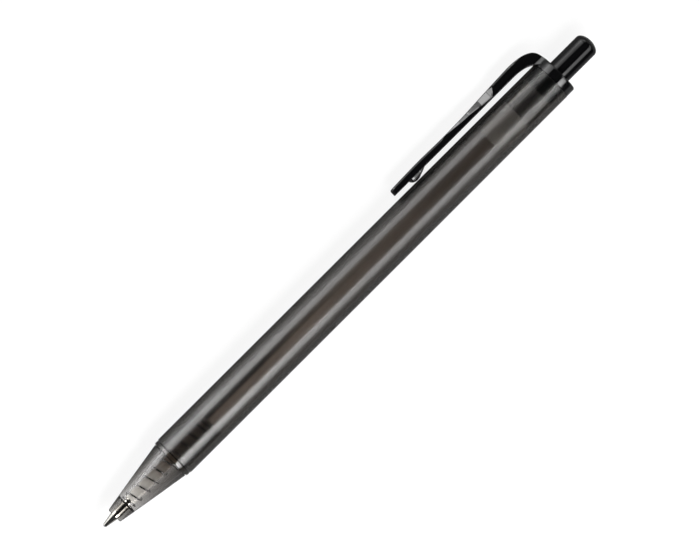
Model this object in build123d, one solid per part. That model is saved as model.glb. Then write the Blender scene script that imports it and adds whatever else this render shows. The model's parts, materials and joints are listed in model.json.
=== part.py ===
from build123d import *
import os
from math import asin, atan2, cos, degrees, hypot, pi, sin, sqrt

# A retractable ballpoint pen in its writing position, in millimetres.
# It is built along +X, from the ball at 0 back to the push button, with the clip towards +Y.
# At the end it is rolled about its axis until the barrel and the clip both rest on the floor,
# and moved so that the origin lies on the floor, below the middle of its box.

# Clearances
fit_clearance = 0.05       # pieces pushed or screwed together
slide_clearance = 0.08     # round pieces that slide in each other, radial
cam_clearance = 0.15       # cam pieces, along and across the pen
ink_clearance = 0.02       # inside the refill, radial
clip_clearance = 0.06      # clip's bump to the barrel, and around the clip's knuckle
spring_clearance = 0.06    # spring's ends to their seats

# Barrel
barrel_length = 109.15
barrel_radius = 4.75
barrel_draft = 0.05        # taper of the radius under the clip
barrel_bore = 3.60
barrel_edge = 0.12
grip_length = 66.65        # plain cylinder, from the barrel's front

# Nose cone
nose_length = 16.30        # in front of the ring
nose_wall = 0.52           # round the metal point, at the nose's end
nose_crown = 0.045         # rise of the outline above a straight cone
nose_edge = 0.30
ring_length = 0.95
ring_step = 0.09           # ring's rear edge below the barrel
ring_draft = 0.04          # taper of the ring's radius
cone_step = 0.22           # cone's rear edge below the ring
spigot_length = 10.15      # inside the barrel
spigot_wall = 0.60
seat_depth = 3.30          # from the nose's end to the spring seat
seat_chamfer = 0.40

# Refill
tip_reach = 3.03           # ball and point standing out of the nose
ball_radius = 0.35
ball_show = 0.22           # ball in front of its socket
socket_lip = 0.02          # edge of the point round the ball
point_radius = 1.10
point_cone = 3.70
point_length = 7.48        # cone and shank
point_tail = 3.50          # inside the holder
point_tail_radius = 0.75
point_channel = 0.30
holder_radius = 1.15
holder_length = 22.60
holder_tail = 6.00         # inside the tube
holder_channel = 0.50
tube_radius = 1.60
tube_bore = 1.10
tube_headroom = 9.43       # empty end of the tube, behind the ink

# Return spring
wire_diameter = 0.38
coil_room = 0.26           # between the spring and the refill's holder
spring_room = 0.16         # between the spring and the nose
coil_turns = 11.5
end_turns = 1.0            # close turns at each end
rise_turns = 1.0           # over which the pitch grows to its full size
end_gap = 0.45             # between the close turns
coil_start = 2.30          # turn angle of the front end, in radians

# Cam sleeve, cam rotor and plunger
sleeve_length = 14.00
sleeve_wall = 0.60
rib_height = 0.75          # of the ribs inside the sleeve
rib_lead = 0.90            # ribs start ahead of the plunger's front
rib_inset = 0.10           # ribs end short of the sleeve's rear
slot_width = 1.45
fin_count = 4
fin_length = 4.80
tooth_rise = 0.75          # slant of the ribs' and fins' ends
crown_depth = 0.70         # notches in the facing ends of rotor and plunger
crown_width = 1.30
rotor_length = 7.58        # without its pin
foot_length = 0.80         # taper of the rotor's foot
foot_taper = 0.65
pin_radius = 1.10
pin_length = 3.60
pin_room = 1.00            # plunger's bore past the pin
button_inset = 0.32        # button's side below the sleeve's bore
button_reach = 7.75        # straight part above the collar
dome_height = 1.56         # of the button's rounded end
retract_travel = 5.00
press_travel = 1.20

# Collar and clip
collar_length = 2.25
collar_step = 0.10         # collar's side below the barrel's
collar_edge = 0.45
collar_spigot = 3.70       # inside the barrel
clip_reach = 39.50         # from the collar's front to the clip's free end
clip_width = 4.10
clip_gap = 1.05            # between the clip and the barrel
clip_tip_thickness = 1.46
clip_pad_thickness = 1.70
clip_waist_thickness = 1.60
clip_root_thickness = 2.40
clip_pad = 8.50            # thickest place, from the clip's free end
clip_waist = 18.50         # thinner place, in front of the knuckle
clip_knuckle = 4.00        # in front of the barrel's rear
clip_edge = 0.30
clip_corner = 1.00         # free end, seen from above
bump_place = 6.00          # from the clip's free end
bump_length = 4.70
bump_width = 3.00
scallop_length = 12.50     # side facets, from the waist towards the root
scallop_height = 1.85      # where they are deepest
scallop_depth = 1.00
scallop_runout = 1.50
bend_length = 2.80         # behind the knuckle
bend_drop = 0.25
bend_round = 8.00
shoulder_drop = 1.15       # outer corner above the collar, below the clip's top
shoulder_round = 1.60
shoulder_inset = 0.40      # short of the collar's rear

# Stations along the pen, from the ball
nose_front = tip_reach
ring_front = nose_front + nose_length
ring_rear = ring_front + ring_length
barrel_front = ring_rear + fit_clearance
barrel_rear = barrel_front + barrel_length
grip_rear = barrel_front + grip_length
spigot_rear = barrel_front + spigot_length
spring_seat = nose_front + seat_depth
holder_front = ball_show + point_length
holder_rear = holder_front + holder_length
tail_rear = holder_front + point_tail
collar_rear = barrel_rear + collar_length
sleeve_rear = barrel_rear - collar_spigot - fit_clearance
sleeve_front = sleeve_rear - sleeve_length
rib_rear = sleeve_rear - rib_inset
plunger_fin_rear = barrel_rear - retract_travel - cam_clearance
plunger_front = plunger_fin_rear - fin_length
rib_front = plunger_front - rib_lead
rotor_fin_rear = rib_front - cam_clearance
rotor_rear = plunger_front - cam_clearance
rotor_front = rotor_rear - rotor_length
tube_rear = rotor_front - fit_clearance
pin_rear = rotor_rear + pin_length
button_front = rib_rear + press_travel + cam_clearance
button_edge = collar_rear + button_reach
button_rear = button_edge + dome_height
clip_tip = barrel_rear - clip_reach
pivot_station = barrel_rear - clip_knuckle
waist_station = pivot_station - clip_waist

# Radii, widths and heights that follow from the fits
barrel_rear_radius = barrel_radius - barrel_draft
collar_radius = barrel_radius - collar_step
ring_rear_radius = barrel_radius - ring_step
ring_front_radius = ring_rear_radius - ring_draft
nose_rear_radius = ring_front_radius - cone_step
guide_radius = point_radius + slide_clearance
nose_front_radius = guide_radius + nose_wall
point_front_radius = ball_radius + socket_lip
coil_radius = holder_radius + coil_room + wire_diameter / 2
cavity_front_radius = coil_radius + wire_diameter / 2 + spring_room
spigot_radius = barrel_bore - fit_clearance
cavity_rear_radius = spigot_radius - spigot_wall
sleeve_bore = spigot_radius - sleeve_wall
cam_bore = sleeve_bore - rib_height
button_radius = sleeve_bore - button_inset
button_hole = button_radius + slide_clearance
pin_bore = pin_radius + slide_clearance
stem_radius = cam_bore - cam_clearance
foot_radius = stem_radius - foot_taper
fin_radius = sleeve_bore - slide_clearance
fin_width = slot_width - 2 * cam_clearance
clip_inner = barrel_radius + clip_gap
clip_outer = clip_inner + clip_root_thickness
knuckle_radius = clip_root_thickness / 2
pivot_height = clip_inner + knuckle_radius


def turned(*points):
    """Solid turned about the pen's axis from a closed outline of (station, radius) points."""
    return revolve(make_face(Polyline(*points, close=True)), Axis.X)


def tube(front, rear, bore, radius):
    return turned((front, bore), (front, radius), (rear, radius), (rear, bore))


def around(solid, first_angle=0):
    """Copies of a solid evenly spaced about the pen's axis, one for each fin."""
    return [solid.rotate(Axis.X, first_angle + 360 / fin_count * k) for k in range(fin_count)]


def radial_block(inner, outer, *outline):
    """Block with an outline of (station, sideways) points that reaches outwards between two radii."""
    plane = Plane(origin=(0, inner, 0), x_dir=(1, 0, 0), z_dir=(0, 1, 0))
    return extrude(plane * make_face(Polyline(*outline, close=True)), outer - inner)


def cam_fins(rear, inner):
    """Fins whose rear ends slant across their width."""
    front = rear - fin_length
    half = fin_width / 2
    block = radial_block(inner, sleeve_bore, (front, -half), (rear - tooth_rise, -half),
                         (rear, half), (front, half))
    return around(block & tube(front, rear, 0, fin_radius))


def crown_notches(station, direction):
    """V notches in the end of a cam piece that faces along the given direction, 1 or -1."""
    bottom = (station - direction * crown_depth, 0)
    mouth = station + direction * cam_clearance
    block = radial_block(0, sleeve_bore, bottom, (mouth, -crown_width / 2), (mouth, crown_width / 2))
    return around(block)


def make_barrel():
    return turned((barrel_front, barrel_bore), (barrel_front, barrel_radius - barrel_edge),
                  (barrel_front + barrel_edge, barrel_radius), (grip_rear, barrel_radius),
                  (barrel_rear, barrel_rear_radius), (barrel_rear, barrel_bore))


def make_nose_cone():
    start = (nose_front, nose_front_radius)
    end = (ring_front, nose_rear_radius)
    middle = ((nose_front + ring_front) / 2, (nose_front_radius + nose_rear_radius) / 2 + nose_crown)
    rest = Polyline(end, (ring_front, ring_front_radius), (ring_rear, ring_rear_radius),
                    (ring_rear, spigot_radius), (spigot_rear, spigot_radius),
                    (spigot_rear, cavity_rear_radius), (ring_front, cavity_rear_radius),
                    (spring_seat + seat_chamfer, cavity_front_radius),
                    (spring_seat, cavity_front_radius - seat_chamfer),
                    (spring_seat, guide_radius), (nose_front, guide_radius), start)
    face = make_face(ThreePointArc(start, middle, end) + rest)
    return revolve(fillet(face.vertices().sort_by_distance(start)[0], nose_edge), Axis.X)


def make_tip_ball():
    return Pos(ball_radius, 0, 0) * Sphere(ball_radius)


def make_tip_point():
    cone_rear = ball_show + point_cone
    body = turned((ball_show, 0), (ball_show, point_front_radius), (cone_rear, point_radius),
                  (holder_front, point_radius), (holder_front, point_tail_radius),
                  (tail_rear, point_tail_radius), (tail_rear, 0))
    socket = Pos(ball_radius, 0, 0) * Sphere(ball_radius + ink_clearance)
    return body - tube(ball_radius, tail_rear, 0, point_channel) - socket


def make_tip_holder():
    plug_rear = holder_rear + holder_tail
    plug_radius = tube_bore - ink_clearance
    seat_rear = tail_rear + ink_clearance
    seat_radius = point_tail_radius + ink_clearance
    return turned((holder_front, seat_radius), (holder_front, holder_radius), (holder_rear, holder_radius),
                  (holder_rear, plug_radius), (plug_rear, plug_radius), (plug_rear, holder_channel),
                  (seat_rear, holder_channel), (seat_rear, seat_radius))


def make_refill_tube():
    return tube(holder_rear, tube_rear, tube_bore, tube_radius)


def make_refill_ink():
    front = tail_rear + 2 * ink_clearance
    step = holder_rear + holder_tail + ink_clearance
    rear = tube_rear - tube_headroom
    narrow = holder_channel - ink_clearance
    wide = tube_bore - ink_clearance
    return turned((front, 0), (front, narrow), (step, narrow), (step, wide), (rear, wide), (rear, 0))


def spring_nodes():
    """Points and directions along the wire, a quarter turn apart, with close turns at both ends."""
    quarters = round(4 * coil_turns)
    front = spring_seat + spring_clearance + wire_diameter / 2
    rear = holder_rear - spring_clearance - wire_diameter / 2
    close_pitch = wire_diameter + end_gap

    def openness(turn):
        from_end = min(turn, coil_turns - turn) - end_turns
        return min(max(from_end / rise_turns, 0), 1)

    shares = [openness((k + 0.5) / 4) for k in range(quarters)]
    growth = (4 * (rear - front) - quarters * close_pitch) / sum(shares)
    station = front
    nodes = []
    for k in range(quarters + 1):
        angle = coil_start + k * pi / 2
        slope = (close_pitch + growth * openness(k / 4)) / (2 * pi)
        point = Vector(station, coil_radius * cos(angle), coil_radius * sin(angle))
        heading = Vector(slope, -coil_radius * sin(angle), coil_radius * cos(angle))
        nodes.append((point, heading.normalized()))
        station += (close_pitch + growth * shares[min(k, quarters - 1)]) / 4
    print(f"spring: open pitch {close_pitch + growth:.2f}")
    return nodes


def biarc(start, start_heading, end, end_heading):
    """Two arcs that join two points and leave them along the given headings."""
    chord = end - start
    along = chord.dot(start_heading + end_heading)
    turn = 2 * (1 - start_heading.dot(end_heading))
    reach = (sqrt(along ** 2 + turn * chord.dot(chord)) - along) / turn
    middle = (start + start_heading * reach + end - end_heading * reach) / 2
    first = TangentArc(start, middle, tangent=start_heading)
    return [first, TangentArc(middle, end, tangent=first % 1)]


def make_return_spring():
    nodes = spring_nodes()
    arcs = []
    for (start, start_heading), (end, end_heading) in zip(nodes, nodes[1:]):
        arcs += biarc(start, start_heading, end, end_heading)
    arcs_in_turn, samples_in_arc = 8, 4
    samples = [arc @ (k / samples_in_arc) for arc in arcs for k in range(samples_in_arc)]
    half_turn = arcs_in_turn * samples_in_arc // 2
    least = min((a - b).length for i, a in enumerate(samples) for b in samples[i + half_turn:])
    tightest = min(arc.radius for arc in arcs)
    print(f"spring: least gap to itself {least - wire_diameter:.2f}, tightest bend {tightest:.2f}")
    path = Wire(arcs)
    section = Plane(origin=path @ 0, z_dir=path % 0) * Circle(wire_diameter / 2)
    return sweep(section, path=path)


def make_cam_sleeve():
    ribs = tube(rib_front, rib_rear, cam_bore, sleeve_bore)
    low, high = rib_front - cam_clearance, rib_rear + cam_clearance
    half = slot_width / 2
    slot = radial_block(0, spigot_radius, (low, -half), (high, -half), (high, half), (low, half))
    reach = sleeve_bore * sin(pi / fin_count)
    slant = radial_block(0, spigot_radius, (low, -reach), (rib_front + tooth_rise, reach), (low, reach))
    ribs = ribs - around(slot) - around(slant, 180 / fin_count)
    return tube(sleeve_front, sleeve_rear, sleeve_bore, spigot_radius) + ribs


def make_cam_rotor():
    body = turned((rotor_front, 0), (rotor_front, foot_radius), (rotor_front + foot_length, stem_radius),
                  (rotor_rear, stem_radius), (rotor_rear, 0))
    pin = tube(rotor_front + foot_length, pin_rear, 0, pin_radius)
    return body - crown_notches(rotor_rear, 1) + pin + cam_fins(rotor_fin_rear, pin_radius)


def make_plunger():
    bore_rear = pin_rear + pin_room
    dome_radius = (button_radius ** 2 + dome_height ** 2) / (2 * dome_height)
    half_angle = asin(button_radius / dome_radius) / 2
    centre = button_rear - dome_radius
    middle = (centre + dome_radius * cos(half_angle), dome_radius * sin(half_angle))
    dome = ThreePointArc((button_edge, button_radius), middle, (button_rear, 0))
    rest = Polyline((button_rear, 0), (bore_rear, 0), (bore_rear, pin_bore), (plunger_front, pin_bore),
                    (plunger_front, stem_radius), (button_front, stem_radius),
                    (button_front, button_radius), (button_edge, button_radius))
    body = revolve(make_face(dome + rest), Axis.X)
    return body + cam_fins(plunger_fin_rear, stem_radius - cam_clearance) - crown_notches(plunger_front, -1)


def extruded(outline):
    """Side outline of the clip, drawn on the pen's middle plane, at the clip's width."""
    return extrude(make_face(outline), clip_width / 2, both=True)


def eased(bar):
    """The clip's bar with its outer long edges rounded."""
    sides = bar.edges().group_by(lambda edge: round(abs(edge.center().Z), 3))[-1]
    return fillet([edge for edge in sides if edge.center().Y > pivot_height], clip_edge)


def make_scallop():
    """Cutter for a side facet that starts from nothing at the waist and ends in a curve."""
    side = clip_width / 2
    climb = (clip_root_thickness - clip_waist_thickness) / clip_waist
    top = clip_inner + clip_waist_thickness + climb * scallop_length
    start = Vector(waist_station, clip_inner + clip_waist_thickness, side)
    low = Vector(start.X + scallop_length, top - scallop_height, side)
    high = Vector(start.X + scallop_length, top, side - scallop_depth)
    along = low - start
    outwards = along.cross(high - start)
    plane = Plane(origin=start, x_dir=along, z_dir=along.cross(outwards))
    length = along.length
    face = make_face(Polyline((0, 0), (length, 0), (length, clip_width), (0, clip_width), close=True))
    corner = face.vertices().sort_by_distance((length, 0))[0]
    return extrude(plane * fillet(corner, scallop_runout), clip_width, both=True)


def make_bump():
    """Low dome under the clip that presses on the barrel."""
    station = clip_tip + bump_place
    draft = (barrel_radius - barrel_rear_radius) / (barrel_rear - grip_rear)
    foot = barrel_radius - draft * (station - grip_rear) + clip_clearance
    height = clip_inner - foot
    radius = ((bump_length / 2) ** 2 + height ** 2) / (2 * height)
    ball = Pos(station, foot + radius, 0) * Sphere(radius)
    return ball & Pos(station, clip_inner, 0) * Box(bump_length, 2 * height, bump_width)


def make_clip_arm():
    tip = (clip_tip, clip_inner + clip_tip_thickness)
    pad = (clip_tip + clip_pad, clip_inner + clip_pad_thickness)
    waist = (waist_station, clip_inner + clip_waist_thickness)
    outer, inner = (pivot_station, clip_outer), (pivot_station, clip_inner)
    knuckle = ThreePointArc(outer, (pivot_station + knuckle_radius, pivot_height), inner)
    arm = extruded(ThreePointArc(tip, pad, waist) + Line(waist, outer) + knuckle
                   + Polyline(inner, (clip_tip, clip_inner), tip))
    arm = eased(fillet(arm.edges().filter_by(Axis.Y), clip_corner))
    scallop = make_scallop()
    return arm - scallop - mirror(scallop, Plane.XY) + make_bump()


def make_clip_collar():
    plate = tube(barrel_rear, collar_rear, button_hole, collar_radius)
    plate = fillet(plate.edges().group_by(Axis.X)[-1].sort_by(SortBy.RADIUS)[-1], collar_edge)
    spigot = tube(barrel_rear - collar_spigot, barrel_rear, sleeve_bore, spigot_radius)
    rear = collar_rear - shoulder_inset
    outer, inner = (pivot_station, clip_outer), (pivot_station, clip_inner)
    foot = (barrel_rear, barrel_radius)
    throat = TangentArc(inner, foot, tangent=(1, 0))
    back = FilletPolyline(foot, (barrel_rear, barrel_bore), (rear, barrel_bore),
                          (rear, clip_outer - shoulder_drop),
                          (pivot_station + bend_length, clip_outer - bend_drop), outer,
                          radius=(0, 0, shoulder_round, bend_round))
    root = eased(extruded(throat + back + Line(outer, inner)))
    socket = Pos(pivot_station, pivot_height, 0) * Cylinder(knuckle_radius + clip_clearance, clip_width)
    return plate + spigot + (root - socket)


def resting_roll():
    """Roll about the pen's axis that lets the clip's outer edge touch the floor beside the barrel."""
    out = clip_outer - clip_edge
    side = clip_width / 2 - clip_edge
    return degrees(asin((barrel_radius - clip_edge) / hypot(out, side)) - atan2(side, out))


nodes = {
    "barrel": make_barrel(),
    "nose_cone": make_nose_cone(),
    "clip_collar": make_clip_collar(),
    "clip_arm": make_clip_arm(),
    "plunger": make_plunger(),
    "cam_sleeve": make_cam_sleeve(),
    "cam_rotor": make_cam_rotor(),
    "return_spring": make_return_spring(),
    "refill_tube": make_refill_tube(),
    "refill_ink": make_refill_ink(),
    "tip_holder": make_tip_holder(),
    "tip_point": make_tip_point(),
    "tip_ball": make_tip_ball(),
}
roll = resting_roll()
rolled = {name: solid.rotate(Axis.X, -roll) for name, solid in nodes.items()}
box = rolled["barrel"].bounding_box()
for solid in rolled.values():
    box = box.add(solid.bounding_box())
place = Pos(-box.center().X, -box.center().Y, -box.min.Z)
print(f"size {box.size.X:.2f} x {box.size.Y:.2f} x {box.size.Z:.2f}, roll {roll:.3f} degrees")
print(f"ball's end on the pen's axis at {tuple(place.position)}")
print(f"clip pivot {pivot_station:.3f} along, {pivot_height:.3f} out from the axis")

os.makedirs("parts", exist_ok=True)
for name, solid in rolled.items():
    export_step(place * solid, f"parts/{name}.step")
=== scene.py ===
import json
from math import cos, pi, radians, sin, sqrt, tan

import bmesh
import bpy
from mathutils import Matrix, Vector


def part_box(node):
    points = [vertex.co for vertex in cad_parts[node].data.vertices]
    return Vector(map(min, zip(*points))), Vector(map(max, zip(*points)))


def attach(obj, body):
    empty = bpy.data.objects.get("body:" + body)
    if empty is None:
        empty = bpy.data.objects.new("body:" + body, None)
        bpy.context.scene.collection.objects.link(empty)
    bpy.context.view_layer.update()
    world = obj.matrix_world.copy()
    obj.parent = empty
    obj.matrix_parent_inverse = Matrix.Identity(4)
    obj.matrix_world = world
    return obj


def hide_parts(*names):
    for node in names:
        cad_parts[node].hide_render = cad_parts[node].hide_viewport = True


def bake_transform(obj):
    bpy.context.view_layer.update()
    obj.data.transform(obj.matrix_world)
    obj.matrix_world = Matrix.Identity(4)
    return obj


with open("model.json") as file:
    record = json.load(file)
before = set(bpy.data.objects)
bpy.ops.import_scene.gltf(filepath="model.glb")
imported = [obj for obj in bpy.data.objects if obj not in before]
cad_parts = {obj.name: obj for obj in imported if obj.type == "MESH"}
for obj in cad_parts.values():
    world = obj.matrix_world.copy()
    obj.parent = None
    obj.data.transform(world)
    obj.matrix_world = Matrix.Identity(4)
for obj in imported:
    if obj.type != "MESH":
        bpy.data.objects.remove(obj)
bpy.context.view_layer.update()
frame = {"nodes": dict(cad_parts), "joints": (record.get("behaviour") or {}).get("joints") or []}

# A retractable ballpoint pen. Sizes are in millimetres, and places are given along the pen from its
# ball, outwards from its axis towards the clip, and sideways across the clip.
MM = 0.001
JOINTS = {joint["name"]: joint for joint in frame["joints"]}
ALONG = Vector((1, 0, 0))
SIDE = -Vector(JOINTS["clip_flex"]["axis"]).normalized()
OUT = SIDE.cross(ALONG)
BARREL_LOW, BARREL_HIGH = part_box("barrel")
ORIGIN = Vector((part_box("tip_ball")[0].x, *((BARREL_LOW + BARREL_HIGH) / 2).yz))


def at(station, out=0.0, side=0.0):
    """Point in the shared frame, in metres."""
    return ORIGIN + (ALONG * station + OUT * out + SIDE * side) * MM


def stretch(name):
    """First and last station of a CAD node."""
    return [(corner.x - ORIGIN.x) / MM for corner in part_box(name)]


# Stations and radii read from the frame
BARREL_FRONT, BARREL_REAR = stretch("barrel")
NOSE_FRONT, SPIGOT_REAR = stretch("nose_cone")
COLLAR_FRONT, COLLAR_REAR = stretch("clip_collar")
PLUNGER_FRONT, BUTTON_REAR = stretch("plunger")
POINT_FRONT, TAIL_REAR = stretch("tip_point")
HOLDER_FRONT, PLUG_REAR = stretch("tip_holder")
TUBE_FRONT, TUBE_REAR = stretch("refill_tube")
INK_FRONT, INK_REAR = stretch("refill_ink")
SPRING_FRONT, SPRING_REAR = stretch("return_spring")
CLIP_TIP = stretch("clip_arm")[0]
BALL_RADIUS = stretch("tip_ball")[1] / 2
BARREL_RADIUS = (BARREL_HIGH - BARREL_LOW).z / 2 / MM
MIDDLE = BUTTON_REAR / 2

# Roundings and a gap that several pieces share
EDGE = 0.10
FINE_EDGE = 0.05
FLANGE_GAP = 0.03          # between a flange and the barrel's end

# Barrel and nose
BARREL_BORE = 3.60
BARREL_DRAFT = 0.05
BARREL_EDGE = 0.14         # rounding of the front rim
GRIP_REAR = 86.98          # where the barrel starts to taper
RING_FRONT = 19.33
RING_RADII = 4.62, 4.66
RING_GROOVE = 0.16, 4.20   # width and floor of the groove in front of the ring
JOINT_GROOVE = 0.16, 4.50  # width and floor of the groove between the ring and the barrel
JOINT_LAP = 0.04           # how far the painted shade of a groove reaches over the ring
CONE_RADII = 1.70, 4.40
CONE_CROWN = 0.045
CONE_EDGE = 0.30           # rounding of the front end
SEAT = 6.33
SEAT_CHAMFER = 0.40
GUIDE_RADIUS = 1.18
GUIDE_EDGE = 0.06
CAVITY_RADII = 1.95, 2.95
SPIGOT_RADIUS = 3.55
SPIGOT_EDGE = 0.15

# Refill and spring
POINT_RADII = 0.42, 1.10
POINT_EDGE = 0.015
POINT_CONE = 3.92
POINT_SHOULDER = 0.40      # rounding behind the cone
POINT_TAIL = 0.75
HOLDER_RADIUS = 1.15
HOLDER_EDGE = 0.08
TUBE_RADII = 1.10, 1.60
TUBE_EDGE = 0.12
INK_RADII = 0.48, 1.08
INK_EDGE = 0.30
REFILL_PLAY = 0.02         # between the pieces of the refill
WIRE_RADIUS = 0.19
COIL_RADIUS = 1.60
COIL_TURNS = 11.5
COIL_START = 2.30          # radians, from the clip's side
CLOSE_PITCH = 0.83         # of the end turns

# Button, collar and clip
STEM_RADIUS = 2.05
BUTTON_FRONT = 126.98
BUTTON_EDGE = 139.48       # where the domed end starts
BUTTON_RADIUS = 2.63
BUTTON_FOOT = 0.15         # rounding of the front end
FIN_RADIUS = 2.87
FIN_WIDTH = 1.15
FIN_LENGTH = 4.80
FIN_SLANT = 0.75
FIN_ROOT = 0.15            # depth of the fins in the stem
PIN_BORE = 1.18
PIN_BORE_REAR = 123.98
COLLAR_RADIUS = 4.65
COLLAR_EDGE = 0.45
BUTTON_HOLE = 2.71
BUTTON_HOLE_EDGE = 0.12
SLEEVE_BORE = 2.95
CLIP_HALF = 2.05           # half of the clip's width
CLIP_EDGE = 0.46           # radius of the clip's upper edges
CLIP_LOWER_EDGE = 0.12
CLIP_CORNER = 1.00         # of the free end, seen from above
CLIP_END = 0.42            # of the free end, seen from the side
ROOT_FLARE = 0.47          # how much the clip's root widens for each millimetre down to the collar
ROOT_FLARE_TOP = 4.75
# Lower edge of the cut in the clip's sides: station and height, below the top where there is a cut
SCALLOP = [
    (104.5, 7.42), (110.0, 6.87), (112.4, 6.75), (115.25, 6.42), (115.5, 6.32),
    (118.3, 6.10), (118.7, 6.24), (119.0, 6.52), (119.4, 7.05), (120.0, 7.85),
]
SCALLOP_SLOPE = 0.62       # depth of the cut for each millimetre up from that edge
SCALLOP_WALL = 118.3       # where the edge rises, as the cut's end wall
SHARP_RIM = 0.12           # radius of the clip's upper edges along the cut and round the bend
RIM_ENTRY = 1.20           # length over which they sharpen
BEND_FRONT = 125.8         # where they sharpen for the bend
# Lower side of the bump under the clip's free end: station and height
BUMP = [
    (94.10, 5.85), (94.28, 5.47), (94.62, 5.12), (95.10, 4.89), (95.65, 4.81), (96.20, 4.88),
    (97.50, 5.34), (98.75, 5.85),
]
BUMP_HALF = 1.55
BUMP_END = 0.62            # width of its ends, as a share of the width of its middle
BUMP_SLANT = 0.42          # of its sides, for each millimetre down
BUMP_ROUNDING = 0.45       # of its lower edges, as a share of its height
BUMP_ROOT = 0.20           # depth of its upper side in the clip
# Cross ribs of the clip from its free end to its root: station and height of the inner edge,
# then of the outer edge
CLIP_RIBS = [
    (89.98, 5.80, 89.98, 7.24), (92.6, 5.80, 92.6, 7.36), (98.5, 5.80, 98.5, 7.47),
    (105.0, 5.80, 105.0, 7.38), (111.0, 5.80, 111.0, 7.50), (117.0, 5.80, 117.0, 7.79),
    (123.2, 5.80, 123.2, 8.08), (125.5, 5.78, 125.9, 8.11), (127.2, 5.54, 128.4, 7.79),
    (128.4, 5.12, 130.2, 7.06), (129.2, 4.62, 131.1, 6.15), (129.9, 4.00, 131.52, 4.90),
    (130.4, 3.40, 131.70, 3.60),
]

# Meshes
AROUND = 192               # points of a turned ring
ON_AXIS = 1e-6             # a ring with a smaller radius is a point
SUPPORT = 0.03             # narrow band beside a rounding, which keeps the next face evenly shaded
CREASE = 35                # degrees between faces that meet at a sharp edge
BLACK_CREASE = 40          # the same for the black pieces


def rounded(*corners, steps=5):
    """Closed outline of (station, radius) points from corners, each with the radius of its rounding."""
    outline = []
    for k, (station, radius, rounding) in enumerate(corners):
        here = Vector((station, radius))
        if not rounding:
            outline.append(here)
            continue
        before = (Vector(corners[k - 1][:2]) - here).normalized()
        after = (Vector(corners[(k + 1) % len(corners)][:2]) - here).normalized()
        half = before.angle(after) / 2
        reach = rounding / tan(half)
        centre = here + (before + after).normalized() * rounding / sin(half)
        start = (here + before * reach - centre).normalized()
        end = (here + after * reach - centre).normalized()
        outline.append(here + before * (reach + SUPPORT))
        outline += [centre + start.slerp(end, step / steps) * rounding for step in range(steps + 1)]
        outline.append(here + after * (reach + SUPPORT))
    return outline


def bridge(bm, ring, following):
    """Faces between two rings of points, where a ring may be a single point on the axis."""
    count = max(len(ring), len(following))
    for k in range(count):
        n = (k + 1) % count
        corners = [ring[k % len(ring)], ring[n % len(ring)]]
        corners += [following[n % len(following)], following[k % len(following)]]
        corners = list(dict.fromkeys(corners))
        if len(corners) > 2:
            bm.faces.new(corners)


def turn(bm, outline, around=AROUND):
    """Closed surface turned about the pen's axis from a closed outline."""
    rings = []
    for station, radius in outline:
        angles = [2 * pi * k / around for k in range(around)] if radius > ON_AXIS else [0]
        rings.append([bm.verts.new(at(station, radius * cos(a), radius * sin(a))) for a in angles])
    for ring, following in zip(rings, rings[1:] + rings[:1]):
        bridge(bm, ring, following)


def loft(bm, rings):
    """Closed surface through rings of points, with flat ends."""
    for ring, following in zip(rings, rings[1:]):
        bridge(bm, ring, following)
    bm.faces.new(rings[0])
    bm.faces.new(rings[-1])


def piece(name, bm, body, material, nodes, crease=CREASE):
    """Object that rides on a body and stands for CAD nodes."""
    bmesh.ops.recalc_face_normals(bm, faces=bm.faces)
    mesh = bpy.data.meshes.new(name)
    bm.to_mesh(mesh)
    bm.free()
    mesh.shade_smooth()
    mesh.set_sharp_from_angle(angle=radians(crease))
    mesh.materials.append(material)
    made = bpy.data.objects.new(name, mesh)
    bpy.context.scene.collection.objects.link(made)
    if body:
        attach(made, body)
    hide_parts(*nodes)
    return made


# Colours, in pairs that faint clouds vary between
SMOKE = (0.90, 0.89, 0.885), (0.95, 0.945, 0.94)
BLACK = (0.0012, 0.0012, 0.0014), (0.0022, 0.0022, 0.0025)
SLEEVE = (0.80, 0.79, 0.76), (0.88, 0.87, 0.84)
MILKY = (0.72, 0.70, 0.66), (0.82, 0.80, 0.76)
NATURAL = (0.80, 0.78, 0.73), (0.90, 0.88, 0.84)
INK = (0.020, 0.015, 0.012), (0.05, 0.035, 0.028)
REFILL = (0.43, 0.355, 0.297), (0.52, 0.437, 0.373)
STEEL = (0.30, 0.30, 0.31), (0.42, 0.42, 0.43)
NICKEL = (0.78, 0.76, 0.71), (0.88, 0.86, 0.81)
CARBIDE = (0.50, 0.50, 0.52), (0.60, 0.60, 0.62)

# Single colours
SMOKE_INSIDE = 0.10, 0.08, 0.06    # of the light that the smoke plastic lets through
# painted shade for the grooves beside the nose's ring
GROOVE_PAINTED_SHADE = 0.03, 0.03, 0.03
# darker ring colour, partly for its thicker plastic and partly as painted shade
RING_TINT_AND_SHADE = 0.72, 0.68, 0.62
# painted shade, darker brown, for the holder's rear
HOLDER_SHADE_BROWN = 0.30, 0.25, 0.205
# painted shade for the refill's rear
REFILL_REAR_SHADE = 0.19, 0.155, 0.13
# painted shade for the refill's side towards the clip
STREAK_PAINTED_SHADE = 0.025, 0.018, 0.013

# Where colours change
BAND_SOFT = 0.04                   # half of the length over which a band's end fades
SLEEVE_CLEAR = 0.70, 0.92          # how clear the sleeve is in front of the stem's end and behind it
SLEEVE_SOFT = 0.10                 # half of the length over which that changes
HOLDER_SHADE_FADE = 12.5, 19.0           # stations between which painted shade turns the holder darker brown
REFILL_SHADE_FADE = 60, 100              # stations between which painted shade turns the refill darker
REFILL_CLOUDS = 0.9, 1.0           # share of its second colour
STREAK_SHADE_FADE = 45, 85               # stations between which the painted shade streak ends
STREAK_SHADE_EDGE = 0.15, 0.55           # distances from the axis between which the painted shade streak starts
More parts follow.
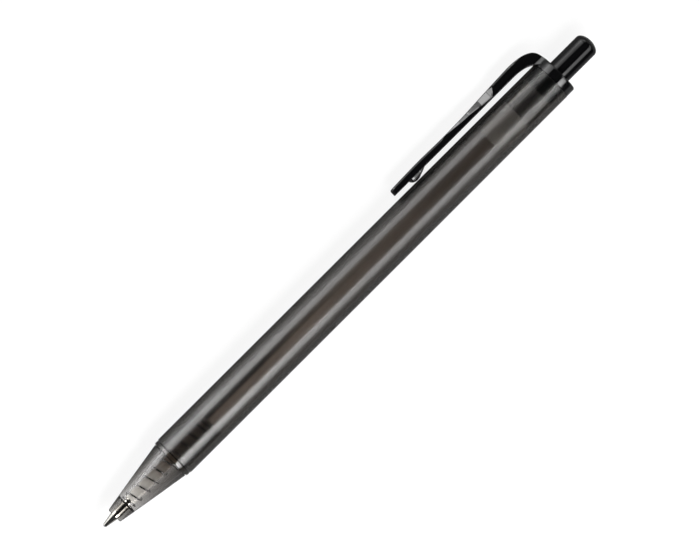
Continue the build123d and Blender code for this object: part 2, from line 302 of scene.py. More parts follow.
# Painted shade in the grooves beside the nose's ring, and the ring between them, darker partly for its
# thicker plastic and partly by painted shade: first and last station, and shade
NOSE_PAINTED_BANDS = [
    (RING_FRONT - RING_GROOVE[0], RING_FRONT + JOINT_LAP, GROOVE_PAINTED_SHADE),
    (RING_FRONT + JOINT_LAP, BARREL_FRONT - JOINT_GROOVE[0] - JOINT_LAP, RING_TINT_AND_SHADE),
    (BARREL_FRONT - JOINT_GROOVE[0] - JOINT_LAP, BARREL_FRONT, GROOVE_PAINTED_SHADE),
]

NOISE_RANGE = 0.3, 0.7             # values that most of a noise lies between
MIX_FACTOR, MIX_FIRST, MIX_SECOND, MIX_RESULT = 0, 6, 7, 2  # a colour mix's sockets
PLASTIC_INDEX = 1.5                # of refraction


# Nodes
def feed(tree, socket, value):
    """Give an input a value, or link it to a socket."""
    if isinstance(value, bpy.types.NodeSocket):
        tree.links.new(value, socket)
    else:
        socket.default_value = value


def node(tree, kind, settings=None, **inputs):
    """New node, whose inputs are values or sockets to link, by name with _ for a space."""
    made = tree.nodes.new(kind)
    for name, value in (settings or {}).items():
        setattr(made, name, value)
    for name, value in inputs.items():
        feed(tree, made.inputs[name.replace("_", " ")], value)
    return made


def computed(tree, operation, *values):
    """Result of an operation on numbers or sockets."""
    made = node(tree, "ShaderNodeMath", {"operation": operation})
    for socket, value in zip(made.inputs, values):
        feed(tree, socket, value)
    return made.outputs["Value"]


def new_tree(owner):
    """Empty node tree of a material, a lamp or the world."""
    owner.use_nodes = True
    owner.node_tree.nodes.clear()
    return owner.node_tree


def new_material(name):
    """Material and its empty node tree."""
    material = bpy.data.materials.new(name)
    return material, new_tree(material)


def ranged(tree, value, low, high, start=NOISE_RANGE[0], end=NOISE_RANGE[1]):
    """Value from start to end, brought to low to high."""
    made = node(tree, "ShaderNodeMapRange", {"clamp": True}, Value=value, From_Min=start, From_Max=end,
                To_Min=low, To_Max=high)
    return made.outputs["Result"]


def place_of(tree):
    """Place on the object, in metres."""
    return node(tree, "ShaderNodeTexCoord").outputs["Object"]


def noise(tree, size, stretch_along=1.0, detail=3.0, rough=0.55):
    """Noise whose spots are about as large as size, in millimetres, and longer along the pen."""
    place = node(tree, "ShaderNodeMapping", Vector=place_of(tree), Scale=(1 / stretch_along, 1, 1))
    made = node(tree, "ShaderNodeTexNoise", Vector=place.outputs["Vector"], Scale=1 / (size * MM),
                Detail=detail, Roughness=rough)
    return made.outputs["Fac"]


def blended(tree, factor, first, second):
    """Colour that goes over to a second one with the factor. The first may be a socket."""
    made = node(tree, "ShaderNodeMix", {"data_type": "RGBA"})
    feed(tree, made.inputs[MIX_FACTOR], factor)
    feed(tree, made.inputs[MIX_FIRST], first if isinstance(first, bpy.types.NodeSocket) else (*first, 1))
    feed(tree, made.inputs[MIX_SECOND], (*second, 1))
    return made.outputs[MIX_RESULT]


def clouded(tree, colours, size, stretch_along=1.0, shares=(0, 1)):
    """Colour that varies between two in clouds of that size, in millimetres."""
    return blended(tree, ranged(tree, noise(tree, size, stretch_along), *shares), *colours)


def bumped(tree, height, depth):
    """Normal for a relief of that depth in millimetres."""
    return node(tree, "ShaderNodeBump", Height=height, Distance=depth * MM, Strength=1.0).outputs["Normal"]


def principled(tree, **inputs):
    """Surface from the inputs by name, with _ for a space."""
    return node(tree, "ShaderNodeBsdfPrincipled", **inputs).outputs["BSDF"]


def mixed(tree, share, first, second):
    """Shader that goes over from the first to the second with the share."""
    made = node(tree, "ShaderNodeMixShader", Fac=share)
    tree.links.new(first, made.inputs[1])
    tree.links.new(second, made.inputs[2])
    return made.outputs["Shader"]


def output(tree, surface, volume=None):
    """End of a material's tree."""
    made = node(tree, "ShaderNodeOutputMaterial", Surface=surface)
    if volume:
        tree.links.new(volume, made.inputs["Volume"])


def station_of(tree):
    """Station along the pen, in millimetres."""
    along = node(tree, "ShaderNodeSeparateXYZ", Vector=place_of(tree)).outputs["X"]
    return ranged(tree, along, 0, BUTTON_REAR, at(0).x, at(BUTTON_REAR).x)


def within(tree, start, end):
    """1 between two stations and 0 outside them."""
    station = station_of(tree)
    rise = ranged(tree, station, 0, 1, start - BAND_SOFT, start + BAND_SOFT)
    fall = ranged(tree, station, 1, 0, end - BAND_SOFT, end + BAND_SOFT)
    return computed(tree, "MULTIPLY", rise, fall)


# Materials
def skin(tree, colour, roughness, grain, relief, clear=0.0, index=PLASTIC_INDEX, grain_along=2.0):
    """Plastic surface with a fine grain in its roughness and relief."""
    fine = noise(tree, grain, grain_along)
    return principled(tree, Base_Color=colour, Roughness=ranged(tree, fine, *roughness), IOR=index,
                      Transmission_Weight=clear, Normal=bumped(tree, fine, relief))


def smoke_plastic(name, roughness, grain, relief, index, density, bands=()):
    """Smoke tinted clear plastic that darkens with its thickness and in bands where shade is painted, and
    lets lamps through.
    """
    material, tree = new_material(name)
    colour = clouded(tree, SMOKE, size=6.0, stretch_along=3.0)
    # painted shade in bands along the pen
    for start, end, shade in bands:
        colour = blended(tree, within(tree, start, end), colour, shade)
    surface = skin(tree, colour, roughness, grain, relief, clear=1.0, index=index, grain_along=0.5)
    through = node(tree, "ShaderNodeBsdfTransparent").outputs["BSDF"]
    lamps = node(tree, "ShaderNodeLightPath").outputs["Is Shadow Ray"]
    inside = node(tree, "ShaderNodeVolumeAbsorption", Color=(*SMOKE_INSIDE, 1), Density=density)
    output(tree, mixed(tree, lamps, surface, through), inside.outputs["Volume"])
    return material


def plastic(name, colours, roughness, grain, relief, index=PLASTIC_INDEX):
    """Moulded plastic with faint clouds in its colour and a fine skin."""
    material, tree = new_material(name)
    colour = clouded(tree, colours, size=5.0, stretch_along=2.0)
    output(tree, skin(tree, colour, roughness, grain, relief, index=index))
    return material


def sleeve_plastic():
    """Cloudy plastic, clearer at the rear, where the black stem fills the sleeve."""
    material, tree = new_material("sleeve_plastic")
    colour = clouded(tree, SLEEVE, size=5.0, stretch_along=2.0)
    clear = ranged(tree, station_of(tree), *SLEEVE_CLEAR,
                   PLUNGER_FRONT - SLEEVE_SOFT, PLUNGER_FRONT + SLEEVE_SOFT)
    output(tree, skin(tree, colour, roughness=(0.10, 0.16), grain=2.0, relief=0.001, clear=clear))
    return material


def holder_plastic():
    """Milky plastic, browner and darker towards the rear, as painted shade where less light reaches inside
    near the barrel.
    """
    material, tree = new_material("milky_plastic")
    light = clouded(tree, MILKY, size=3.0, stretch_along=2.0)
    # painted shade towards the rear
    colour = blended(tree, ranged(tree, station_of(tree), 0, 1, *HOLDER_SHADE_FADE), light, HOLDER_SHADE_BROWN)
    output(tree, skin(tree, colour, roughness=(0.35, 0.5), grain=0.5, relief=0.003, clear=0.2))
    return material


def clip_side_of(tree):
    """1 on the clip's side of the pen's axis and 0 on the other."""
    out = node(tree, "ShaderNodeVectorMath", {"operation": "DOT_PRODUCT"})
    feed(tree, out.inputs[0], place_of(tree))
    feed(tree, out.inputs[1], OUT / MM)
    start, end = (ORIGIN.dot(OUT) / MM + distance for distance in STREAK_SHADE_EDGE)
    return ranged(tree, out.outputs["Value"], 0, 1, start, end)


def refill_plastic():
    """Natural plastic over ink, with painted shade that darkens it towards the rear and in a streak on the
    clip's side at the front.
    """
    material, tree = new_material("refill_plastic")
    station = station_of(tree)
    colour = clouded(tree, REFILL, size=4.0, stretch_along=4.0, shares=REFILL_CLOUDS)
    # painted shade, darker towards the rear
    colour = blended(tree, ranged(tree, station, 0, 1, *REFILL_SHADE_FADE), colour, REFILL_REAR_SHADE)
    # painted shade on the clip's side of the refill, towards the front
    shaded_side = computed(tree, "MULTIPLY", clip_side_of(tree), ranged(tree, station, 1, 0, *STREAK_SHADE_FADE))
    colour = blended(tree, shaded_side, colour, STREAK_PAINTED_SHADE)
    output(tree, principled(tree, Base_Color=colour, Roughness=0.36, IOR=PLASTIC_INDEX,
                            Transmission_Weight=0.15))
    return material


def metal(name, colours, roughness, line, relief, lines_along=1.0):
    """Metal with fine lines left by turning or drawing."""
    material, tree = new_material(name)
    lines = noise(tree, line, lines_along, detail=2.0)
    colour = clouded(tree, colours, size=1.5)
    output(tree, principled(tree, Base_Color=colour, Metallic=1.0,
                            Roughness=ranged(tree, lines, *roughness), Normal=bumped(tree, lines, relief)))
    return material


def make_materials():
    """All materials by name. Sizes of grain, lines and relief are in millimetres."""
    return {
        "smoke_barrel": smoke_plastic("smoke_barrel", roughness=(0.16, 0.25), grain=0.42,
                                      relief=0.0045, index=1.43, density=1080),
        "smoke_nose": smoke_plastic("smoke_nose", roughness=(0.02, 0.04), grain=3.0,
                                    relief=0.0004, index=1.46, density=800, bands=NOSE_PAINTED_BANDS),
        "black_gloss": plastic("black_gloss", BLACK, roughness=(0.03, 0.06), grain=0.6, relief=0.0008),
        "button_gloss": plastic("button_gloss", BLACK, roughness=(0.04, 0.07), grain=0.6,
                                relief=0.0008, index=1.35),
        "sleeve_plastic": sleeve_plastic(),
        "milky_plastic": holder_plastic(),
        "natural_plastic": plastic("natural_plastic", NATURAL, roughness=(0.40, 0.55), grain=0.5,
                                   relief=0.004),
        "ink": plastic("ink", INK, roughness=(0.15, 0.25), grain=1.0, relief=0.002),
        "refill_plastic": refill_plastic(),
        "spring_steel": metal("spring_steel", STEEL, roughness=(0.06, 0.11), line=0.08, relief=0.0005),
        "tip_metal": metal("tip_metal", NICKEL, roughness=(0.04, 0.08), line=0.06, relief=0.0002,
                           lines_along=0.3),
        "ball_metal": metal("ball_metal", CARBIDE, roughness=(0.08, 0.14), line=0.05, relief=0.0005),
    }


# Barrel and nose
def make_barrel(material):
    bm = bmesh.new()
    rear_radius = BARREL_RADIUS - BARREL_DRAFT
    turn(bm, rounded((BARREL_FRONT, BARREL_BORE, EDGE), (BARREL_FRONT, BARREL_RADIUS, BARREL_EDGE),
                     (GRIP_REAR, BARREL_RADIUS, 0), (BARREL_REAR, rear_radius, EDGE),
                     (BARREL_REAR, BARREL_BORE, EDGE)))
    piece("barrel_shell", bm, "barrel", material, ["barrel"])


def cone_crown(steps=8):
    """Corners between the ends of the nose's cone, which is a little fuller than straight."""
    corners = []
    for k in range(1, steps):
        share = k / steps
        radius = CONE_RADII[0] + (CONE_RADII[1] - CONE_RADII[0]) * share
        radius += CONE_CROWN * 4 * share * (1 - share)
        corners.append((NOSE_FRONT + (RING_FRONT - NOSE_FRONT) * share, radius, 0))
    return corners


def make_nose(material):
    flange_rear = BARREL_FRONT - FLANGE_GAP
    joint_width, joint_floor = JOINT_GROOVE
    ring_rear = flange_rear - joint_width
    width, floor = RING_GROOVE
    bm = bmesh.new()
    turn(bm, rounded((NOSE_FRONT, GUIDE_RADIUS, GUIDE_EDGE), (NOSE_FRONT, CONE_RADII[0], CONE_EDGE),
                     *cone_crown(), (RING_FRONT - width, CONE_RADII[1], FINE_EDGE),
                     (RING_FRONT - width, floor, 0), (RING_FRONT, floor, 0),
                     (RING_FRONT, RING_RADII[0], EDGE), (ring_rear, RING_RADII[1], EDGE),
                     (ring_rear, joint_floor, 0), (flange_rear, joint_floor, 0),
                     (flange_rear, SPIGOT_RADIUS, FINE_EDGE), (SPIGOT_REAR, SPIGOT_RADIUS, SPIGOT_EDGE),
                     (SPIGOT_REAR, CAVITY_RADII[1], EDGE), (RING_FRONT, CAVITY_RADII[1], 0),
                     (SEAT + SEAT_CHAMFER, CAVITY_RADII[0], EDGE),
                     (SEAT, CAVITY_RADII[0] - SEAT_CHAMFER, GUIDE_EDGE), (SEAT, GUIDE_RADIUS, GUIDE_EDGE)))
    piece("nose_shell", bm, "nose", material, ["nose_cone"])


# Refill and spring
def make_point(material):
    bm = bmesh.new()
    turn(bm, rounded((POINT_FRONT, 0, 0), (POINT_FRONT, POINT_RADII[0], POINT_EDGE),
                     (POINT_CONE, POINT_RADII[1], POINT_SHOULDER),
                     (HOLDER_FRONT, POINT_RADII[1], FINE_EDGE), (HOLDER_FRONT, POINT_TAIL, 0),
                     (TAIL_REAR, POINT_TAIL, EDGE), (TAIL_REAR, 0, 0)))
    piece("writing_point", bm, "refill", material, ["tip_point"])


def make_ball(material):
    bm = bmesh.new()
    ball = bmesh.ops.create_uvsphere(bm, u_segments=48, v_segments=24, radius=BALL_RADIUS * MM)
    bmesh.ops.translate(bm, verts=ball["verts"], vec=at(BALL_RADIUS))
    piece("writing_ball", bm, "ball", material, ["tip_ball"])


def make_holder(material):
    bm = bmesh.new()
    plug = TUBE_RADII[0] - REFILL_PLAY
    bore = INK_RADII[0] + REFILL_PLAY
    socket = POINT_TAIL + REFILL_PLAY
    socket_rear = TAIL_REAR + REFILL_PLAY
    turn(bm, rounded((HOLDER_FRONT, socket, 0), (HOLDER_FRONT, HOLDER_RADIUS, HOLDER_EDGE),
                     (TUBE_FRONT, HOLDER_RADIUS, 0), (TUBE_FRONT, plug, 0), (PLUG_REAR, plug, EDGE),
                     (PLUG_REAR, bore, 0), (socket_rear, bore, 0), (socket_rear, socket, 0)))
    piece("refill_holder", bm, "refill", material, ["tip_holder"])


def make_tube(material):
    bm = bmesh.new()
    turn(bm, rounded((TUBE_FRONT, TUBE_RADII[0], FINE_EDGE), (TUBE_FRONT, TUBE_RADII[1], TUBE_EDGE),
                     (TUBE_REAR, TUBE_RADII[1], TUBE_EDGE), (TUBE_REAR, TUBE_RADII[0], FINE_EDGE)))
    piece("refill_body", bm, "refill", material, ["refill_tube"])


def make_ink(material):
    bm = bmesh.new()
    step = PLUG_REAR + REFILL_PLAY
    turn(bm, rounded((INK_FRONT, 0, 0), (INK_FRONT, INK_RADII[0], 0), (step, INK_RADII[0], 0),
                     (step, INK_RADII[1], 0), (INK_REAR, INK_RADII[1], INK_EDGE), (INK_REAR, 0, 0)))
    piece("ink_column", bm, "refill", material, ["refill_ink"])


def spring_line(steps_in_turn=40):
    """Stations and angles along the middle of the spring's wire, with a close turn at each end."""
    count = round(COIL_TURNS * steps_in_turn)
    front, rear = SPRING_FRONT + WIRE_RADIUS, SPRING_REAR - WIRE_RADIUS
    shares = []
    for k in range(count):
        done = (k + 0.5) / steps_in_turn
        shares.append(min(max(min(done, COIL_TURNS - done) - 1, 0), 1))
    open_pitch = ((rear - front) * steps_in_turn - count * CLOSE_PITCH) / sum(shares)
    station, line = front, []
    for k in range(count + 1):
        line.append((station, COIL_START + 2 * pi * k / steps_in_turn))
        station += (CLOSE_PITCH + open_pitch * shares[min(k, count - 1)]) / steps_in_turn
    return line


def make_spring(material, sides=12):
    bm = bmesh.new()
    rings = []
    line = spring_line()
    for k, (station, angle) in enumerate(line):
        before, after = line[max(k - 1, 0)], line[min(k + 1, len(line) - 1)]
        radial = OUT * cos(angle) + SIDE * sin(angle)
        around = SIDE * cos(angle) - OUT * sin(angle)
        run = COIL_RADIUS * (after[1] - before[1])
        tangent = (ALONG * (after[0] - before[0]) + around * run).normalized()
        across = tangent.cross(radial)
        middle = at(station) + radial * COIL_RADIUS * MM
        rings.append([bm.verts.new(middle + (radial * cos(a) + across * sin(a)) * WIRE_RADIUS * MM)
                      for a in (2 * pi * j / sides for j in range(sides))])
    loft(bm, rings)
    made = piece("coil_spring", bm, None, material, ["return_spring"])
    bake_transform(made)


# Button
def add_fins(bm, front, inner, count=4):
    """Guide fins with slanted rear ends, spaced about the axis."""
    half, rear = FIN_WIDTH / 2, front + FIN_LENGTH
    outline = [(front, -half), (rear - FIN_SLANT, -half), (rear, half), (front, half)]
    for k in range(count):
        angle = 2 * pi * k / count
        out, side = cos(angle), sin(angle)
        loft(bm, [[bm.verts.new(at(station, r * out - across * side, r * side + across * out))
                   for station, across in outline] for r in (inner, FIN_RADIUS)])


def make_button(material, steps=24):
    dome = [(BUTTON_EDGE - SUPPORT, BUTTON_RADIUS, 0)]
    for k in range(steps):
        a = pi / 2 * k / steps
        dome.append((BUTTON_EDGE + (BUTTON_REAR - BUTTON_EDGE) * sin(a), BUTTON_RADIUS * cos(a), 0))
    bm = bmesh.new()
    turn(bm, rounded((PLUNGER_FRONT, PIN_BORE, 0), (PLUNGER_FRONT, STEM_RADIUS, FINE_EDGE),
                     (BUTTON_FRONT, STEM_RADIUS, 0), (BUTTON_FRONT, BUTTON_RADIUS, BUTTON_FOOT),
                     *dome, (BUTTON_REAR, 0, 0), (PIN_BORE_REAR, 0, 0), (PIN_BORE_REAR, PIN_BORE, 0)))
    add_fins(bm, PLUNGER_FRONT, STEM_RADIUS - FIN_ROOT)
    piece("push_button", bm, "plunger", material, ["plunger"], crease=BLACK_CREASE)


# Clip and collar
def smooth_ribs(per_span=24):
    """The clip's ribs with smooth ones between them, as (station, inner height, station, outer height)."""
    ribs = [Vector(rib) for rib in CLIP_RIBS]
    made = []
    for k in range(len(ribs) - 1):
        a, b = ribs[max(k - 1, 0)], ribs[k]
        c, d = ribs[k + 1], ribs[min(k + 2, len(ribs) - 1)]
        for step in range(per_span):
            t = step / per_span
            if k == 0:  # closer together at the free end, which is rounded
                t = t ** 2
            made.append(0.5 * (2 * b + (c - a) * t + (2 * a - 5 * b + 4 * c - d) * t ** 2
                               + (3 * b - a - 3 * c + d) * t ** 3))
    return made + [ribs[-1]]


def height_on(line, station):
    """Height of a line of (station, height) points."""
    for (start, low), (end, high) in zip(line, line[1:]):
        if start <= station <= end:
            return low + (high - low) * (station - start) / (end - start)
    return line[-1][1]


def scallop_edge(station, top):
    """Heights of the side cut's lower edge and of the floor that its slant starts from."""
    if not SCALLOP[0][0] < station < SCALLOP[-1][0]:
        return top, top
    edge = min(height_on(SCALLOP, station), top)
    return edge, min(height_on(SCALLOP, min(station, SCALLOP_WALL)), edge)


def rim_radius(station):
    """Radius of the clip's upper edges, which are sharper along the side cuts and round the bend."""
    into_cut = min(station - SCALLOP[0][0], SCALLOP[-1][0] - station)
    into = max(into_cut, station - BEND_FRONT) / RIM_ENTRY
    return CLIP_EDGE + (SHARP_RIM - CLIP_EDGE) * min(max(into, 0), 1)


def setback(past, radius):
    """How far a rounded end lies behind its straight side, at a distance from the end."""
    if past >= radius:
        return 0.0
    return radius - sqrt(radius ** 2 - (radius - past) ** 2)


def clip_section(rib, rows=4, arc=4):
    """Points of one cross section of the clip, once round, as (height along the rib, sideways)."""
    inner, outer = Vector(rib[:2]), Vector(rib[2:])
    past = inner.x - CLIP_TIP
    half = CLIP_HALF - setback(past, CLIP_CORNER)
    bottom = setback(past, CLIP_LOWER_EDGE)
    top = (outer - inner).length - setback(past, CLIP_END)
    up = (outer - inner).normalized().y
    edge, floor = ((height - inner.y) / up for height in scallop_edge(inner.x, outer.y))
    rim = rim_radius(inner.x)
    low, high = bottom + CLIP_LOWER_EDGE, top - rim
    cut = min(edge, high - 2 * SUPPORT)
    waist = min(max((ROOT_FLARE_TOP - inner.y) / up, low + 3 * SUPPORT), cut - 3 * SUPPORT)
    right = [(bottom, half - CLIP_LOWER_EDGE - SUPPORT)]
    for k in range(arc + 1):
        a = pi / 2 * k / arc
        right.append((low - CLIP_LOWER_EDGE * cos(a), half - CLIP_LOWER_EDGE * (1 - sin(a))))
    right += [(h, half) for h in (low + SUPPORT, waist - SUPPORT, waist + SUPPORT, cut - SUPPORT)]
    for k in range(rows + 1):
        right.append((cut + SUPPORT + (high - cut - 2 * SUPPORT) * k / rows, half))
    for k in range(arc + 1):
        a = pi / 2 * k / arc
        right.append((high + rim * sin(a), half - rim * (1 - cos(a))))
    right.append((top, half - rim - SUPPORT))
    # The side cut, and then the flare at the root
    right = [(h, s - SCALLOP_SLOPE * max(h - floor, 0) if h > cut else s) for h, s in right]
    right = [(h, s + ROOT_FLARE * max(ROOT_FLARE_TOP - inner.y - up * h, 0)) for h, s in right]
    return right + [(h, -s) for h, s in reversed(right)]


def add_clip(bm):
    rings = []
    for rib in smooth_ribs():
        inner, outer = Vector(rib[:2]), Vector(rib[2:])
        up = (outer - inner).normalized()
        rings.append([bm.verts.new(at(inner.x + up.x * h, inner.y + up.y * h, s))
                      for h, s in clip_section(rib)])
    loft(bm, rings)


def bump_section(station, top, arc=6):
    """Points of one cross section of the bump, as (height, sideways), from one side to the other."""
    foot = height_on(BUMP, station)
    middle = (BUMP[0][0] + BUMP[-1][0]) / 2
    share = abs(station - middle) / (BUMP[-1][0] - middle)
    half = BUMP_HALF * (BUMP_END + (1 - BUMP_END) * (1 - share ** 4))
    rounding = BUMP_ROUNDING * (top - foot)
    side = half - BUMP_SLANT * (top - foot - rounding)
    right = [(top, half), (foot + rounding + SUPPORT, side + BUMP_SLANT * SUPPORT)]
    for k in range(arc + 1):
        a = pi / 2 * k / arc
        right.append((foot + rounding * (1 - sin(a)), side - rounding * (1 - cos(a))))
    return right + [(height, -out) for height, out in reversed(right)]


def add_bump(bm, steps=56):
    """Wedge with rounded edges under the clip's free end."""
    top = CLIP_RIBS[0][1] + BUMP_ROOT
    rings = []
    for k in range(steps + 1):
        station = BUMP[0][0] + (BUMP[-1][0] - BUMP[0][0]) * k / steps
        section = bump_section(station, top)
        rings.append([bm.verts.new(at(station, height, side)) for height, side in section])
    loft(bm, rings)


def make_clip(material):
    flange_front = BARREL_REAR + FLANGE_GAP
    bm = bmesh.new()
    turn(bm, rounded((COLLAR_FRONT, SLEEVE_BORE, 0), (COLLAR_FRONT, SPIGOT_RADIUS, EDGE),
                     (flange_front, SPIGOT_RADIUS, 0), (flange_front, COLLAR_RADIUS, EDGE),
                     (COLLAR_REAR, COLLAR_RADIUS, COLLAR_EDGE),
                     (COLLAR_REAR, BUTTON_HOLE, BUTTON_HOLE_EDGE),
                     (BARREL_REAR, BUTTON_HOLE, 0), (BARREL_REAR, SLEEVE_BORE, 0)))
    add_clip(bm)
    add_bump(bm)
    made = piece("clip_and_collar", bm, None, material, ["clip_arm", "clip_collar"],
                 crease=BLACK_CREASE)
    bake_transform(made)


def dress_cad_nodes(materials):
    """The cam pieces inside the barrel keep their CAD shapes."""
    for name, finish in (("cam_sleeve", "sleeve_plastic"), ("cam_rotor", "natural_plastic")):
        mesh = frame["nodes"][name].data
        mesh.materials.clear()
        mesh.materials.append(materials[finish])


# Floor and room
FLOOR_HALF = 2.0           # metres
FLOOR_GLOW = 0.88          # share of plain white in the floor, where it is seen as the background
SEEN_PAPER = 0.92          # colour of the rest of the floor, where it is seen
PAPER = 0.58, 0.62         # the same for the light that it throws on the pen
PAPER_CLOUDS = 40.0        # size of its clouds
PAPER_ROUGHNESS = 0.12
PAPER_SPECULAR = 0.15
REFLECTED_PAPER = 0.35     # how bright it is in reflections, as a share
REFLECTED_GLOW = 0.05      # share of plain white in reflections
ROOM_LEVELS = 0.5, 0.03    # brightness of the room at the horizon and above
ROOM_HEIGHTS = 0.08, 0.26  # rises of the direction between which it changes

# Soft boxes. Distances and reaches along X are in metres, and angles in degrees from the camera's
# direction towards the clip. A shade gives two levels of brightness, and where they lie across a box.
STRIP_DISTANCE = 0.60
LOW_STRIP = -33, -63
LOW_REACH = -0.22, 0.24
LOW_RADIANCE = 16.6
LOW_SHADE = 0.52, 1.0, 0.0, 0.45
TAIL_STRIP = -63, -76      # soft edge of the low strip
TAIL_END = 0.095           # where it ends along X
TAIL_SHADE = 0.0, 0.52, 0.0, 1.0
HIGH_STRIP = 32, 68.4
HIGH_REACH = -0.42, 0.24
HIGH_RADIANCE = 14.5
HIGH_SHADE = 0.25, 1.0, 0.0, 1.0
END_REACH = (-1.20, -0.43), (0.26, 1.20)  # fainter strips in line with these, for views of the ends
END_RADIANCE = 3.0
PANEL_REACH = -0.09, 0.03  # low panel on the clip's side of the floor, towards the tip
PANEL_SIDES = 0.006, 0.110  # metres along Y
PANEL_HEIGHT = 0.0002
PANEL_RADIANCE = 2.6
PANEL_SHADE = 1.0, 0.0, 0.78, 1.0
# Brightness along a box: X and level
LOW_FADE = [
    (-0.12, 1.05), (-0.085, 0.72), (-0.058, 1.0), (-0.045, 0.92), (-0.036, 0.60), (-0.027, 0.44),
    (-0.004, 0.35), (0.02, 0.26), (0.059, 0.175), (0.074, 0.25), (0.080, 0.56), (0.090, 0.98),
    (0.0945, 1.08), (0.0955, 0.52), (0.0985, 0.52), (0.0995, 0.23),
]
TAIL_FADE = [stop for stop in LOW_FADE if stop[0] < TAIL_END] + [(TAIL_END, 0.0)]
HIGH_FADE = [
    (-0.250, 0.10), (-0.240, 0.70), (-0.22, 0.70), (-0.18, 1.1), (-0.12, 1.1), (-0.085, 0.75),
    (-0.058, 1.03), (-0.045, 0.93), (-0.027, 0.60), (-0.004, 0.43), (0.02, 0.30), (0.059, 0.23),
    (0.076, 0.27), (0.082, 0.52), (0.090, 0.72), (0.0945, 0.80), (0.0955, 0.31), (0.0985, 0.31),
    (0.0995, 0.34), (0.106, 0.24), (0.110, 0.16), (0.112, 0.68), (0.126, 0.68), (0.136, 0.15),
]
PANEL_FADE = [
    (-0.0705, 0.0), (-0.0675, 1.0), (-0.050, 1.0), (-0.030, 0.75), (0.0, 0.50), (0.025, 0.0),
]

# Camera
CAMERA_DISTANCE = 1.45     # metres
CAMERA_TILT = 1.4          # degrees, the tip towards the camera
SENSOR = 36.0              # millimetres
PIXEL = 0.205              # millimetres on the pen for a pixel of the photograph
PHOTO_SIZE = 700, 560      # pixels, as are the places of the pen's ends
PHOTO_TIP = 104.0, 526.2
PHOTO_END = 591.2, 40.15


def floor_material():
    """Paper that the camera and clear plastic see as white, with the pen's shadow."""
    material, tree = new_material("floor")
    path = node(tree, "ShaderNodeLightPath").outputs
    seen = computed(tree, "MAXIMUM", path["Is Camera Ray"], path["Is Transmission Ray"])
    reflected = computed(tree, "MULTIPLY", path["Is Glossy Ray"], REFLECTED_GLOW)
    share = computed(tree, "MAXIMUM", computed(tree, "MULTIPLY", seen, FLOOR_GLOW), reflected)
    shade = ranged(tree, noise(tree, PAPER_CLOUDS), *PAPER)
    dimmed = ranged(tree, path["Is Glossy Ray"], 1, REFLECTED_PAPER, 0, 1)
    shade = computed(tree, "MULTIPLY", shade, dimmed)
    colour = computed(tree, "MAXIMUM", shade, computed(tree, "MULTIPLY", seen, SEEN_PAPER))
    paper = principled(tree, Base_Color=colour, Roughness=PAPER_ROUGHNESS,
                       Specular_IOR_Level=PAPER_SPECULAR)
    glow = node(tree, "ShaderNodeEmission", Color=(1, 1, 1, 1), Strength=1.0).outputs["Emission"]
    output(tree, mixed(tree, share, paper, glow))
    return material


def make_floor():
    bm = bmesh.new()
    bmesh.ops.create_grid(bm, x_segments=1, y_segments=1, size=FLOOR_HALF)
    mesh = bpy.data.meshes.new("floor")
    bm.to_mesh(mesh)
    bm.free()
    mesh.materials.append(floor_material())
    floor = bpy.data.objects.new("floor", mesh)
    bpy.context.scene.collection.objects.link(floor)


def make_world():
    """White where the camera looks past the floor, and otherwise a room, pale at the horizon."""
    world = bpy.data.worlds.new("studio")
    bpy.context.scene.world = world
    tree = new_tree(world)
    direction = node(tree, "ShaderNodeTexCoord").outputs["Generated"]
    height = node(tree, "ShaderNodeSeparateXYZ", Vector=direction).outputs["Z"]
    level = ranged(tree, height, *ROOM_LEVELS, *ROOM_HEIGHTS)
    room = node(tree, "ShaderNodeBackground", Color=level, Strength=1.0).outputs["Background"]
    white = node(tree, "ShaderNodeBackground", Color=(1, 1, 1, 1), Strength=1.0).outputs["Background"]
    camera_ray = node(tree, "ShaderNodeLightPath").outputs["Is Camera Ray"]
    node(tree, "ShaderNodeOutputWorld", Surface=mixed(tree, camera_ray, room, white))


def make_lamp(name, centre, back, reach, width, radiance, levels, shade):
    """Soft box along X with its back to a direction, and with brightness by X and across it."""
    length = reach[1] - reach[0]
    lamp = bpy.data.lights.new(name, "AREA")
    lamp.shape = "RECTANGLE"
    lamp.size, lamp.size_y = length, width
    lamp.energy = radiance * pi * length * width
    tree = new_tree(lamp)
    place = node(tree, "ShaderNodeNewGeometry").outputs["Parametric"]
    place = node(tree, "ShaderNodeSeparateXYZ", Vector=place).outputs
    fade = node(tree, "ShaderNodeValToRGB", Fac=place["X"])
    stops = fade.color_ramp.elements
    stops.remove(stops[1])
    for k, (x, level) in enumerate(levels):
        stop = stops[0] if k == 0 else stops.new(1.0)
        stop.position = (x - reach[0]) / length
        stop.color = (level, level, level, 1)
    strength = computed(tree, "MULTIPLY", fade.outputs["Color"], ranged(tree, place["Y"], *shade))
    glow = node(tree, "ShaderNodeEmission", Strength=strength)
    node(tree, "ShaderNodeOutputLight", Surface=glow.outputs["Emission"])
    box = bpy.data.objects.new(name, lamp)
    bpy.context.scene.collection.objects.link(box)
    centre = Vector((sum(reach) / 2, *centre.yz))
    turned = Matrix((ALONG, back.cross(ALONG), back)).transposed()
    box.matrix_world = Matrix.LocRotScale(centre, turned, None)
    box.visible_camera = False
    return box


def make_strip(name, angles, reach, radiance, levels, shade):
    """Long soft box beside the pen that fills the given angles, seen from its axis."""
    ends = [SIDE * cos(radians(a)) + OUT * sin(radians(a)) for a in angles]
    middle = (ends[0] + ends[1]) / 2
    centre = at(MIDDLE) + middle * STRIP_DISTANCE
    width = (ends[0] - ends[1]).length * STRIP_DISTANCE
    make_lamp(name, centre, middle.normalized(), reach, width, radiance, levels, shade)


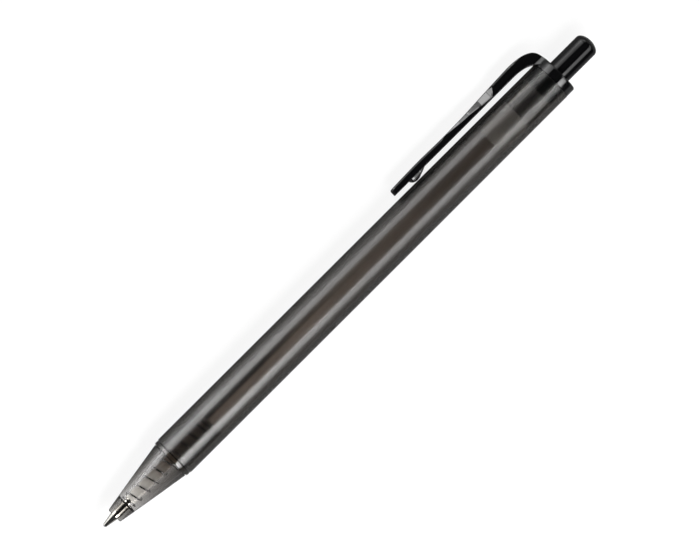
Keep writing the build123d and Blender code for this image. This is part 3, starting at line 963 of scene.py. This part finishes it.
def make_panel():
    """Panel that shines up from the floor, and that only reflections show."""
    near, far = PANEL_SIDES
    centre = Vector((0, (near + far) / 2, PANEL_HEIGHT))
    down = Vector((0, 0, -1))
    panel = make_lamp("floor_panel", centre, down, PANEL_REACH, far - near, PANEL_RADIANCE,
                      PANEL_FADE, PANEL_SHADE)
    panel.visible_transmission = False


def make_lights():
    make_strip("low_strip", LOW_STRIP, LOW_REACH, LOW_RADIANCE, LOW_FADE, LOW_SHADE)
    make_strip("low_tail", TAIL_STRIP, LOW_REACH, LOW_RADIANCE, TAIL_FADE, TAIL_SHADE)
    make_strip("high_strip", HIGH_STRIP, HIGH_REACH, HIGH_RADIANCE, HIGH_FADE, HIGH_SHADE)
    for end, reach in zip(("front", "rear"), END_REACH):
        make_strip("low_" + end, LOW_STRIP, reach, END_RADIANCE, [(reach[0], 1.0)], LOW_SHADE)
        make_strip("high_" + end, HIGH_STRIP, reach, END_RADIANCE, [(reach[0], 1.0)], HIGH_SHADE)
    make_panel()


def make_camera():
    """The photograph's view: the pen lies across it, with its clip seen from the side."""
    tilt = radians(CAMERA_TILT)
    back = SIDE * cos(tilt) - ALONG * sin(tilt)
    along = (ALONG - back * ALONG.dot(back)).normalized()
    up = back.cross(along)
    tip, end = Vector(PHOTO_TIP), Vector(PHOTO_END)
    run = Vector((end.x - tip.x, tip.y - end.y)).normalized()
    right = along * run.x - up * run.y
    top = along * run.y + up * run.x
    offset = (Vector(PHOTO_SIZE) - tip - end) / 2
    target = at(MIDDLE) + (right * offset.x - top * offset.y) * PIXEL * MM
    data = bpy.data.cameras.new("camera")
    data.sensor_width = SENSOR
    data.lens = SENSOR * CAMERA_DISTANCE / (PHOTO_SIZE[0] * PIXEL * MM)
    camera = bpy.data.objects.new("camera", data)
    bpy.context.scene.collection.objects.link(camera)
    turned = Matrix((right, top, back)).transposed()
    camera.matrix_world = Matrix.LocRotScale(target + back * CAMERA_DISTANCE, turned, None)
    bpy.context.scene.camera = camera


materials = make_materials()
make_barrel(materials["smoke_barrel"])
make_nose(materials["smoke_nose"])
make_point(materials["tip_metal"])
make_ball(materials["ball_metal"])
make_holder(materials["milky_plastic"])
make_tube(materials["refill_plastic"])
make_ink(materials["ink"])
make_spring(materials["spring_steel"])
make_button(materials["button_gloss"])
make_clip(materials["black_gloss"])
dress_cad_nodes(materials)
make_floor()
make_world()
make_lights()
make_camera()
bpy.context.scene.view_settings.view_transform = "Standard"
